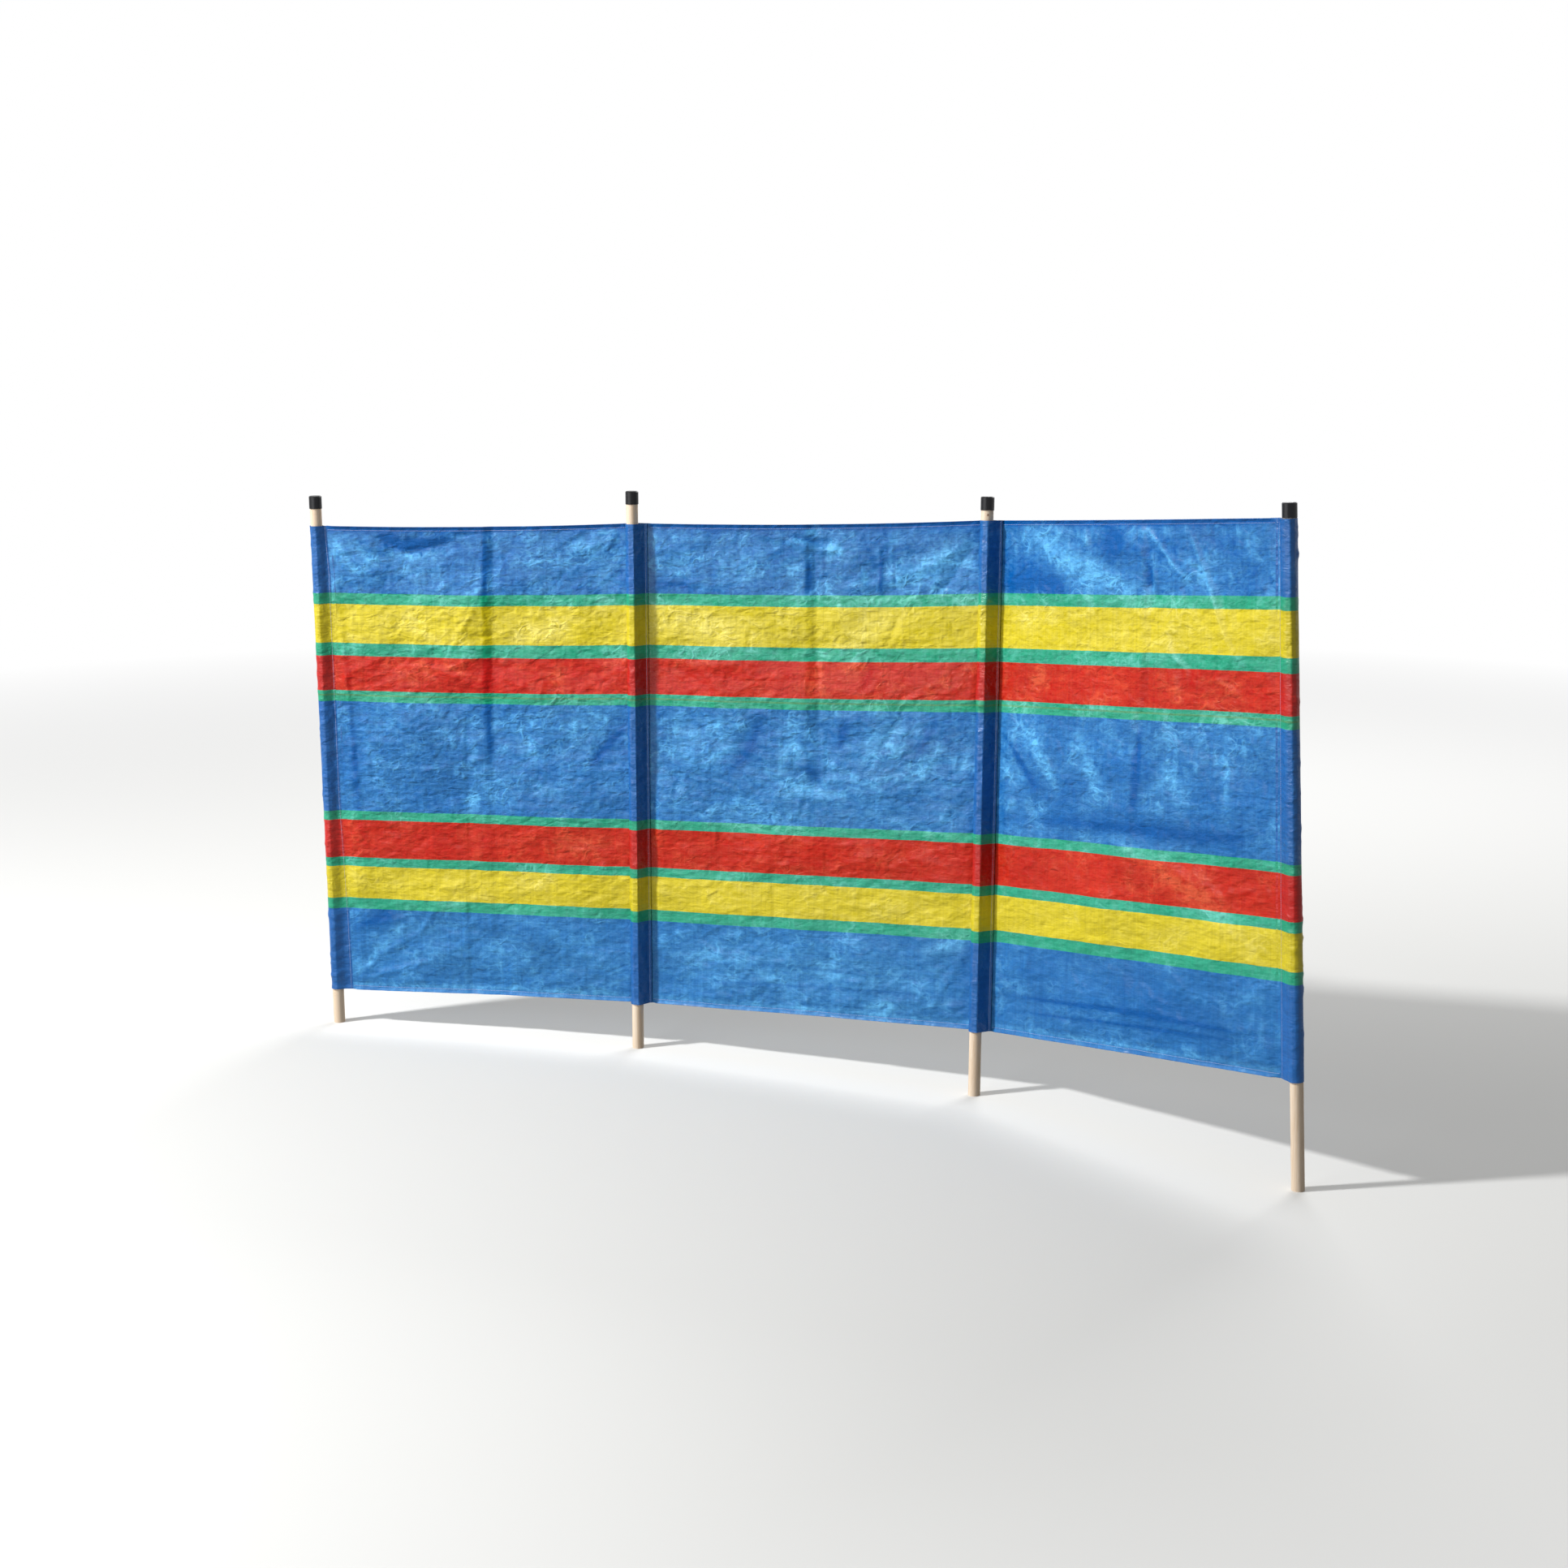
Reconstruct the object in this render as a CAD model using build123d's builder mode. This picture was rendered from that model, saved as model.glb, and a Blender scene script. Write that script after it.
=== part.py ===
import os

from build123d import *

# Beach windbreak: four poles planted in the ground, and one striped cloth sewn into a sleeve round each pole.
# Lengths are in millimetres and angles in degrees. The front of the cloth faces -Y and +Z is up.
# The origin is the centre of the left end pole's foot, on the ground.

# Wooden poles, from the ground up: what is planted in the ground is left off. A tuple has one value a pole,
# from the left end to the right end, and bare_top is the wood that shows between the cloth and the cap.
pole_diameter = 22.0
pole_chamfer = 1.5
bare_top = (32.5, 36.0, 17.5, 0.5)
right_lean_angle = (-0.1, -0.2, -1.3, -3.2)
back_lean_angle = (-0.3, 0.8, 4.3, 0.7)

# Bays, from foot to foot. Their heading angle is their direction in plan, turned from +X towards +Y.
bay_width = (631.0, 689.0, 687.0)
bay_heading_angle = (12.5, 4.0, -15.6)

# Push-on plastic caps
cap_wall = 1.0
cap_end_thickness = 2.0
cap_skirt = 22.0
cap_chamfer = 1.5
cap_clearance = 0.1

# Cloth. hem_clearance is from the ground to the lower edge and gather is cloth bunched down at the top,
# both along the pole and one value a pole.
cloth_height = 922.0
cloth_thickness = 1.0
hem_clearance = (70.0, 88.0, 118.0, 184.0)
gather = (0.0, 0.0, 0.0, 11.0)
hem_depth = 10.0
layer_gap = 0.15
fold_chamfer = 0.6

# Sleeves. A seam offset is from the pole's centre line to the far side of the sewn seam.
sleeve_clearance = 0.3
end_seam_offset = 30.0
middle_seam_offset = 25.0
seam_width = 5.0
seam_gap = 0.2

# The cloth bellies back a little in the middle of each bay, where its top hem also sags
belly_depth = 4.0
top_sag = (5.0, 5.0, 1.0)

pole_radius = pole_diameter / 2
sleeve_inner_radius = pole_radius + sleeve_clearance
sleeve_outer_radius = sleeve_inner_radius + cloth_thickness
pole_numbers = range(len(bay_width) + 1)
last_pole = len(bay_width)


def direction(angle):
    """Level unit vector of a heading angle."""
    return Vector(1, 0, 0).rotate(Axis.Z, angle)


def lean_axis(right, back):
    """Unit vector up a pole that leans by these angles."""
    upright = Vector(0, 0, 1)
    across = upright.rotate(Axis.Y, right)
    along = upright.rotate(Axis.X, -back)
    return Vector(across.X / across.Z, along.Y / along.Z, 1).normalized()


# Plane on each foot: X along the bay, Y to the back of the cloth and Z up the pole
feet = [Vector(0, 0, 0)]
for width, angle in zip(bay_width, bay_heading_angle):
    feet.append(feet[-1] + direction(angle) * width)

pole_planes = []
for n in pole_numbers:
    axis = lean_axis(right_lean_angle[n], back_lean_angle[n])
    bay = direction(bay_heading_angle[max(n - 1, 0)])
    level = (bay - axis * bay.dot(axis)).normalized()
    pole_planes.append(Plane(origin=feet[n], x_dir=level, z_dir=axis))


def sleeve_height(n):
    return cloth_height - gather[n]


def pole_height(n):
    return hem_clearance[n] + sleeve_height(n) + bare_top[n] + cap_skirt


def build_pole(n):
    """A round dowel, cut level with the ground and chamfered at its top end."""
    with BuildPart() as pole:
        with BuildSketch(pole_planes[n].offset(-pole_diameter)):
            Circle(pole_radius)
        extrude(amount=pole_diameter + pole_height(n))
        chamfer(pole.edges().sort_by(Axis.Z)[-1], pole_chamfer)
        split(bisect_by=Plane.XY, keep=Keep.TOP)
    return pole.part


def build_cap(n):
    """A cap pushed over the pole's top end, turned from its half section."""
    bore = pole_radius + cap_clearance
    outside = bore + cap_wall
    plane = pole_planes[n].offset(pole_height(n))
    half_plane = Plane(origin=plane.origin, x_dir=plane.x_dir, z_dir=-plane.y_dir)
    with BuildPart() as cap:
        with BuildSketch(half_plane) as half:
            with BuildLine():
                Polyline(
                    (0, 0),
                    (bore, 0),
                    (bore, -cap_skirt),
                    (outside, -cap_skirt),
                    (outside, cap_end_thickness),
                    (0, cap_end_thickness),
                    close=True,
                )
            make_face()
            chamfer(half.vertices().group_by(Axis.Y)[-1].sort_by(Axis.X)[-1], cap_chamfer)
        revolve(axis=Axis(plane.origin, plane.z_dir))
    return cap.part


def build_sleeve(n):
    """The loop of cloth round a pole, drawn in to a sewn seam.

    At an end pole the seam is in line with the pole. At a middle pole the loop is a tuck that lies
    on the front of the bay to its left, with its seam level with the loop's back."""
    side = 1 if n == 0 else -1
    if n in (0, last_pole):
        seam_end = side * end_seam_offset
        seam_start = seam_end - side * seam_width
        seam_middle = 0
    else:
        seam_end = middle_seam_offset
        seam_start = seam_end - seam_width
        seam_middle = sleeve_outer_radius - cloth_thickness
    plane = pole_planes[n].offset(hem_clearance[n])
    with BuildPart() as sleeve:
        with BuildSketch(plane):
            Circle(sleeve_outer_radius)
            with Locations(((seam_start + seam_end) / 2, seam_middle)):
                Rectangle(seam_width, 2 * cloth_thickness)
            make_hull()
        extrude(amount=sleeve_height(n))
        with BuildSketch(plane):
            Circle(sleeve_inner_radius)
            with Locations((seam_start, seam_middle - seam_gap / 2 if n not in (0, last_pole) else 0)):
                Circle(seam_gap / 2)
            make_hull()
        extrude(amount=sleeve_height(n), mode=Mode.SUBTRACT)
    return sleeve.part


def cloth_line(n, along, back):
    """The cloth's upright line beside pole n, as its lower end, its direction up and the way to its back."""
    base = pole_planes[n].offset(hem_clearance[n])
    return base.from_local_coords(Vector(along, back, 0)), base.z_dir, base.y_dir


def section(line, height):
    """Plane across the cloth at a line of it: X to the back and Y up the cloth, with the cloth's height there."""
    foot, up, back = line
    return Plane(origin=foot, x_dir=back, z_dir=back.cross(up)), height


def bay_lofts(n):
    """The sections of bay n's cloth, a list for each loft.

    The first goes from the left seam to the right pole. Where that is a middle pole, the second goes on
    behind its sleeve to the seam."""
    behind_sleeve = sleeve_outer_radius + layer_gap + cloth_thickness / 2
    if n == 0:
        left = cloth_line(n, end_seam_offset, 0)
    else:
        left = cloth_line(n, middle_seam_offset, behind_sleeve)
    if n + 1 == last_pole:
        right = cloth_line(n + 1, -end_seam_offset, 0)
    else:
        right = cloth_line(n + 1, 0, behind_sleeve)
    foot, up, back = ((a + b) / 2 for a, b in zip(left, right))
    middle = foot + back * belly_depth, up.normalized(), back.normalized()
    left_height = sleeve_height(n)
    right_height = sleeve_height(n + 1)
    middle_height = (left_height + right_height) / 2 - top_sag[n]
    lofts = [[section(left, left_height), section(middle, middle_height), section(right, right_height)]]
    if n + 1 < last_pole:
        seam = cloth_line(n + 1, middle_seam_offset, behind_sleeve)
        lofts.append([section(right, right_height), section(seam, right_height)])
    return lofts


def build_cloth(n):
    """Bay n's cloth, one layer thick, from fold to fold of its hems."""
    with BuildPart() as cloth:
        for sections in bay_lofts(n):
            for plane, height in sections:
                with BuildSketch(plane):
                    with Locations((0, height / 2)):
                        Rectangle(cloth_thickness, height - 2 * (cloth_thickness + layer_gap))
            loft()
    return cloth.part


def build_hem(n, at_top):
    """The cloth's edge turned over to the back."""
    front = -cloth_thickness / 2
    lap = cloth_thickness / 2 + layer_gap
    back = lap + cloth_thickness
    with BuildPart() as hem:
        for sections in bay_lofts(n):
            for plane, height in sections:
                edge = height if at_top else 0
                inward = -1 if at_top else 1
                fold = edge + inward * cloth_thickness
                corner = edge + inward * fold_chamfer
                raw_edge = edge + inward * hem_depth
                with BuildSketch(plane):
                    with BuildLine():
                        Polyline(
                            (lap, raw_edge),
                            (lap, fold),
                            (front, fold),
                            (front, corner),
                            (front + fold_chamfer, edge),
                            (back - fold_chamfer, edge),
                            (back, corner),
                            (back, raw_edge),
                            close=True,
                        )
                    make_face()
            loft()
    return hem.part


os.makedirs("parts", exist_ok=True)


def save(part, name):
    part.label = name
    export_step(part, f"parts/{name}.step")


for n in pole_numbers:
    save(build_pole(n), f"pole_{n + 1}")
    save(build_cap(n), f"pole_cap_{n + 1}")
    save(build_sleeve(n), f"sleeve_{n + 1}")

for n, bay_name in enumerate(("left_bay", "middle_bay", "right_bay")):
    save(build_cloth(n), f"{bay_name}_cloth")
    save(build_hem(n, at_top=True), f"{bay_name}_top_hem")
    save(build_hem(n, at_top=False), f"{bay_name}_bottom_hem")
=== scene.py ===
import math

import bpy
import numpy as np
from mathutils import Matrix


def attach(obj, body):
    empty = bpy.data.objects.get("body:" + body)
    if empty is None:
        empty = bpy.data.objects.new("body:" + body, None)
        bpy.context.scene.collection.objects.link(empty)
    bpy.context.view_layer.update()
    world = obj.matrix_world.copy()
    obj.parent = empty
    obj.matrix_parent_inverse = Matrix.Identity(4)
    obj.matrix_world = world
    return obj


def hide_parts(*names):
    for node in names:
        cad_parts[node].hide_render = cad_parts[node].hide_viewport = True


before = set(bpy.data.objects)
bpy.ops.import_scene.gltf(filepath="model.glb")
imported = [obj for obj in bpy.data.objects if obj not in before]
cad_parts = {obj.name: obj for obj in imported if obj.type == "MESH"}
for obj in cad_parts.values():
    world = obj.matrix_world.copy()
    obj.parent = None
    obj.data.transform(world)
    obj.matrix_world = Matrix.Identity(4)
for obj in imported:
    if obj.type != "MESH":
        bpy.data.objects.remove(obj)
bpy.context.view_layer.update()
mm = 0.001


def addObject(name, data):
    thing = bpy.data.objects.new(name, data)
    bpy.context.scene.collection.objects.link(thing)
    return thing


# the camera stands where the photo was taken from
cameraSettings = {
    "place": (3.0745, -3.7979, 1.5028),
    "turnedLeft": 28.5,  # degrees from looking along +Y
    "pitchDown": 12.0,
    "roll": -0.21,
    "lens": 57.56,  # mm
    "sensor": 36.0,
}


def makeCamera():
    s = cameraSettings
    data = bpy.data.cameras.new("photoCamera")
    data.lens = s["lens"]
    data.sensor_width = s["sensor"]
    camera = addObject("photoCamera", data)
    turn = Matrix.Rotation(math.radians(s["turnedLeft"]), 4, "Z")
    pitch = Matrix.Rotation(math.radians(90 - s["pitchDown"]), 4, "X")
    roll = Matrix.Rotation(math.radians(s["roll"]), 4, "Z")
    camera.matrix_world = Matrix.Translation(s["place"]) @ turn @ pitch @ roll
    bpy.context.scene.camera = camera


makeCamera()
print("camera placed")


poleSettings = {
    "count": 4,
    "ring": 0.6 * mm,  # points this near to one height are a ring
    "passes": 3,  # rounds to find a pole's way up
}


def unit(v):
    return v / np.linalg.norm(v, axis=-1, keepdims=True)


def nodePoints(node):
    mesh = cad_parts[node].data
    points = np.empty(len(mesh.vertices) * 3)
    mesh.vertices.foreach_get("co", points)
    return points.reshape(-1, 3)


def ringCentre(points, heights, height):
    ring = points[np.abs(heights - height) < poleSettings["ring"]]
    return (ring.min(0) + ring.max(0)) / 2


# each pole's foot and way up come from the frame, with a way along the cloth and one to its back
def readPoles():
    poles = []
    for n in range(1, poleSettings["count"] + 1):
        points = nodePoints(f"pole_{n}")
        foot = ringCentre(points, points[:, 2], 0)
        up = unit(points[points[:, 2].argmax()] - foot)
        for _ in range(poleSettings["passes"]):
            heights = points @ up
            up = unit(ringCentre(points, heights, heights.max()) - foot)
        poles.append({"foot": foot, "up": up})
    for n, pole in enumerate(poles):
        bay = poles[max(n, 1)]["foot"] - poles[max(n - 1, 0)]["foot"]
        pole["along"] = unit(bay - pole["up"] * (bay @ pole["up"]))
        pole["back"] = np.cross(pole["up"], pole["along"])
        heights = (nodePoints(f"sleeve_{n + 1}") - pole["foot"]) @ pole["up"]
        pole["hem"] = heights.min()
        pole["sleeveHeight"] = heights.max() - heights.min()
        pole["height"] = ((nodePoints(f"pole_{n + 1}") - pole["foot"]) @ pole["up"]).max()
    return poles


poles = readPoles()


# a point beside pole n; share runs from 0 at the cloth's lower edge to 1 at its upper edge
def besidePole(n, along, back, share):
    pole = poles[n]
    height = pole["hem"] + pole["sleeveHeight"] * share
    along, back, height = (np.asarray(x, float)[..., None] for x in (along, back, height))
    return pole["foot"] + along * pole["along"] + back * pole["back"] + height * pole["up"]


print("poles read from the frame")


# these shape every piece of cloth
shapingSettings = {
    "noiseCells": 64,  # before the noise repeats
    "noiseGain": 1.6,  # brings it to about -1 to 1
    "creaseReach": 3,  # in widths of a crease
    "creaseFade": 0.7,  # how it runs out at its ends
    "creaseFall": 1.4,  # how it falls to its sides
    "sharpAngle": 55,  # edges over this many degrees stay sharp
}


def smoothStep(x, low, high):
    t = np.clip((x - low) / (high - low), 0, 1)
    return t * t * (3 - 2 * t)


# 1 over a width and 0 at its ends, where left and right say how far in it starts and stops to rise
def within(x, width, left, right):
    return smoothStep(x, *left) * (1 - smoothStep(x, width - right[1], width - right[0]))


# 0 at both ends and 1 in the middle
def hump(part):
    return 4 * part * (1 - part)


# soft noise from -1 to 1, with the width and height of its waves, the same on every run
def softNoise(x, y, across, down, seed, shift=(0, 0)):
    size = shapingSettings["noiseCells"]
    turns = np.random.RandomState(seed).uniform(0, 2 * math.pi, (size, size))
    x, y = x / across + shift[0], y / down + shift[1]
    i, j = np.floor(x).astype(int), np.floor(y).astype(int)
    u, v = x - i, y - j

    def corner(a, b):
        turn = turns[(i + a) % size, (j + b) % size]
        return (u - a) * np.cos(turn) + (v - b) * np.sin(turn)

    fu, fv = smoothStep(u, 0, 1), smoothStep(v, 0, 1)
    low = corner(0, 0) * (1 - fu) + corner(1, 0) * fu
    high = corner(0, 1) * (1 - fu) + corner(1, 1) * fu
    return shapingSettings["noiseGain"] * (low * (1 - fv) + high * fv)


# a crease through a few points, added to a field of heights over columns x and rows y, in mm
def addCrease(field, x, y, points, width, height):
    s = shapingSettings
    points = np.asarray(points, float)
    reach = s["creaseReach"] * width
    columns = (x > points[:, 0].min() - reach) & (x < points[:, 0].max() + reach)
    rows = (y > points[:, 1].min() - reach) & (y < points[:, 1].max() + reach)
    if not columns.any() or not rows.any():
        return
    gridX, gridY = np.meshgrid(x[columns], y[rows])
    distance = np.full(gridX.shape, np.inf)
    travel = np.zeros(gridX.shape)
    done = 0
    for a, b in zip(points[:-1], points[1:]):
        run = b - a
        length = np.hypot(*run)
        t = np.clip(((gridX - a[0]) * run[0] + (gridY - a[1]) * run[1]) / length**2, 0, 1)
        away = np.hypot(gridX - a[0] - t * run[0], gridY - a[1] - t * run[1])
        nearer = away < distance
        distance = np.where(nearer, away, distance)
        travel = np.where(nearer, done + t * length, travel)
        done += length
    fade = np.clip(hump(travel / done), 0, 1) ** s["creaseFade"]
    fall = np.exp(-((2 * distance / width) ** s["creaseFall"]))
    field[np.ix_(rows, columns)] += height * fade * fall


# how far along a line each of its points lies
def travelAlong(line):
    return np.concatenate([[0], np.cumsum(np.linalg.norm(np.diff(line, axis=0), axis=1))])


def pointsAt(places, travel, line):
    return np.stack([np.interp(places, travel, values) for values in line.T], -1)


def newPiece(name, points, faces, coords=None):
    mesh = bpy.data.meshes.new(name)
    mesh.from_pydata(points.tolist(), [], faces)
    mesh.shade_smooth()
    mesh.set_sharp_from_angle(angle=math.radians(shapingSettings["sharpAngle"]))
    if coords is not None:
        corners = np.empty(len(mesh.loops), int)
        mesh.loops.foreach_get("vertex_index", corners)
        layer = mesh.uv_layers.new(name="clothMetres")
        layer.data.foreach_set("uv", coords[corners].astype(np.float32).ravel())
    piece = addObject(name, mesh)
    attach(piece, "root")
    return piece


def gridFaces(rows, columns, start=0):
    index = np.arange(rows * columns).reshape(rows, columns) + start
    corners = (index[:-1, :-1], index[:-1, 1:], index[1:, 1:], index[1:, :-1])
    return np.stack(corners, -1).reshape(-1, 4).tolist()


# the way a grid of points faces: columns run to the right and rows up, seen from outside
def facing(grid):
    return unit(np.cross(np.gradient(grid, axis=1), np.gradient(grid, axis=0)))


# cloth with two skins and a rim, from a grid of points down its middle
def clothPiece(name, grid, coords, wearAndPaintedLight):
    rows, columns = grid.shape[:2]
    count = rows * columns
    lift = facing(grid) * clothSettings["thickness"] / 2
    points = np.concatenate([(grid + lift).reshape(-1, 3), (grid - lift).reshape(-1, 3)])
    faces = gridFaces(rows, columns)
    faces += [face[::-1] for face in gridFaces(rows, columns, count)]
    index = np.arange(count).reshape(rows, columns)
    rim = [index[0], index[1:, -1], index[-1, -2::-1], index[-2::-1, 0]]
    rim = np.concatenate(rim).tolist()
    faces += [[b, a, a + count, b + count] for a, b in zip(rim[:-1], rim[1:])]
    piece = newPiece(name, points, faces, np.tile(coords.reshape(-1, 2), (2, 1)))
    # the strokes of film whitening and of painted light and shade, kept on every point for the
    # material
    layer = piece.data.attributes.new("wearAndPaintedLight", "FLOAT", "POINT")
    layer.data.foreach_set("value", np.tile(wearAndPaintedLight.ravel(), 2).astype(np.float32))
    return piece


clothSettings = {
    "height": 922 * mm,
    "thickness": 0.35 * mm,
    "meshSpacing": 3.7 * mm,
    # from an end pole's centre to the far side of its seam, in mm at shares of the height
    "endSeams": {
        0: [(0, 33.5), (0.15, 33), (0.33, 28), (0.42, 25), (0.9, 25.5), (1, 20.5)],
        3: [(0, 29.7), (0.35, 27), (0.68, 22.5), (1, 17.7)],
    },
    "middleSeam": 25 * mm,  # the same at a middle pole
    "behindSleeve": 12.95 * mm,  # from a middle pole's centre to the cloth behind its sleeve
    "columnsBehind": 6,
    "patternStep": 0.7,  # m from one bay's film and dye to the next one's
    "sleeveRadius": 11.8 * mm,
    "hemDepth": 10 * mm,
    "hemStitch": 7.5 * mm,  # from the edge
    "hemRows": (2.5 * mm, 5 * mm),  # mesh rows between the fold and the stitches
    "hemEnd": 13 * mm,  # the first row past the hem
    "evenRows": 16 * mm,  # evenly spaced rows start here
    "hemFold": 0.8 * mm,  # radius of the fold
    "foldPoints": 5,
    "hemLap": 0.45 * mm,  # from the cloth to its turned-in edge at the stitches
    "lapReached": 5.5 * mm,  # from the edge
    "hemRoll": 3.6 * mm,  # how far the fold rolls forward
    "rollDepth": 8 * mm,
    "rollStart": (0, 12 * mm),  # from the left seam
    "rollStop": (8 * mm, 22 * mm),  # from the right pole
}

# painted shade as a deep line along the top hem and painted light as a pale line along the bottom
# hem
hemPaintedShadeAndLight = [
    ([(-200, 4), (850, 4)], 11, -0.9),
    ([(-200, 910), (850, 910)], 7, 0.6),
]

# Each bay is the cloth from its left seam to its right pole. Folds and creases go through points
# that are measured from the left seam and below the upper edge, all in mm. A fold has its depth
# at some heights, and how far it runs out to its left and right. A crease has its width and its
# height to the back. The stripes sit higher than woven by "lift", which has heights below the
# upper edge, each with the lift at the bay's left end and at its right end. A stroke goes through
# points, has a width, and is paler than the rest, or deeper where below 0: the pale strokes are
# film whitened along creases together with painted sheen and highlight, the deep ones painted
# shade. The widest strokes come last and tone whole bands, as painted light above 0 and painted
# shade below it, evening out how the lamps light the bays.
leftBay = {
    "name": "left_bay",
    "belly": 4.0,
    "sag": 5.0,
    "folds": [
        (
            [(327, 0), (318, 380), (314, 920)],
            [(0, 5.6), (240, 5.4), (400, 3.4), (600, 1.7), (920, 1.3)], 17, 85,
        ),
        ([(266, 340), (262, 600), (254, 920)], [(340, 0), (390, 1.6), (920, 1.4)], 8, 30),
        ([(38, 430), (50, 560), (66, 760)], [(430, 0), (470, 1.3), (700, 1.2), (760, 0)], 7, 24),
        ([(66, 430), (76, 590), (80, 720)], [(430, 0), (470, 1.1), (660, 1.0), (720, 0)], 6, 24),
    ],
    "seed": 11,
    "lift": [(0, 0.5, -3.0), (340, 1.5, -2.0), (560, 3.2, -2.0), (920, 3.5, -1.5)],
    "creases": [
        ([(3, 60), (8, 160), (17, 230), (27, 360), (30, 520)], 9, -2.0),
        ([(60, 235), (60, 335)], 7, 0.9),
        ([(300, 130), (276, 177), (256, 207), (225, 262)], 8, -2.1),
        ([(20, 20), (60, 70), (110, 118), (150, 130)], 26, -3.0),
        ([(15, 30), (35, 90), (75, 150)], 16, -2.2),
        ([(40, 14), (110, 40), (190, 70)], 20, -2.4),
        ([(95, 18), (150, 50), (235, 34), (280, 12)], 24, 4.5),
        ([(480, 52), (530, 40), (578, 22)], 14, -2.4),
        ([(535, 60), (560, 38), (575, 14)], 9, -2.1),
        ([(545, 34), (590, 52)], 8, -2.0),
        ([(130, 275), (190, 268), (245, 285), (300, 318)], 9, -1.7),
        ([(10, 905), (60, 850), (150, 800), (200, 735)], 14, -2.1),
        ([(10, 905), (80, 880), (170, 858)], 10, -1.5),
        ([(120, 745), (210, 790), (330, 800)], 16, 1.4),
    ],
    "wornAndPaintedLight": [
        ([(4, 10), (30, 62), (62, 100)], 22, 0.8),
        ([(28, 12), (62, 44), (96, 78)], 22, 0.6),
        ([(98, 14), (150, 38), (210, 32), (252, 10)], 26, -0.9),
        ([(110, 52), (170, 58), (250, 46)], 16, 0.7),
        ([(120, 90), (180, 92), (236, 84)], 50, 0.45),
        ([(312, 4), (310, 240), (309, 470)], 14, -0.7),
        ([(480, 40), (520, 46), (560, 30)], 20, 0.8),
        ([(565, 84), (530, 112)], 34, 0.5),
        ([(350, 215), (420, 205), (500, 170)], 26, 0.5),
        ([(200, 282), (226, 262), (262, 284), (300, 296)], 7, 0.8),
        ([(390, 150), (384, 110)], 40, 0.3),
        ([(22, 150), (30, 380), (38, 560), (54, 740)], 12, -0.4),
        ([(384, 400), (398, 470)], 34, 0.6),
        ([(560, 350), (500, 380), (470, 420)], 46, 0.5),
        ([(584, 384), (548, 420), (508, 472)], 14, -0.6),
        ([(256, 534), (290, 528)], 20, 0.9),
        ([(60, 380), (140, 400)], 50, 0.3),
        ([(440, 620), (520, 612), (584, 604)], 34, 0.5),
        ([(330, 706), (400, 696), (452, 680)], 30, 0.4),
        ([(8, 896), (70, 830), (130, 772)], 14, 0.5),
        ([(0, 800), (60, 776), (110, 762)], 26, -0.5),
        ([(190, 742), (250, 740)], 16, 0.6),
        # paints light over the lower band
        ([(0, 840), (640, 840)], 110, 0.24),
    ],
}

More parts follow.
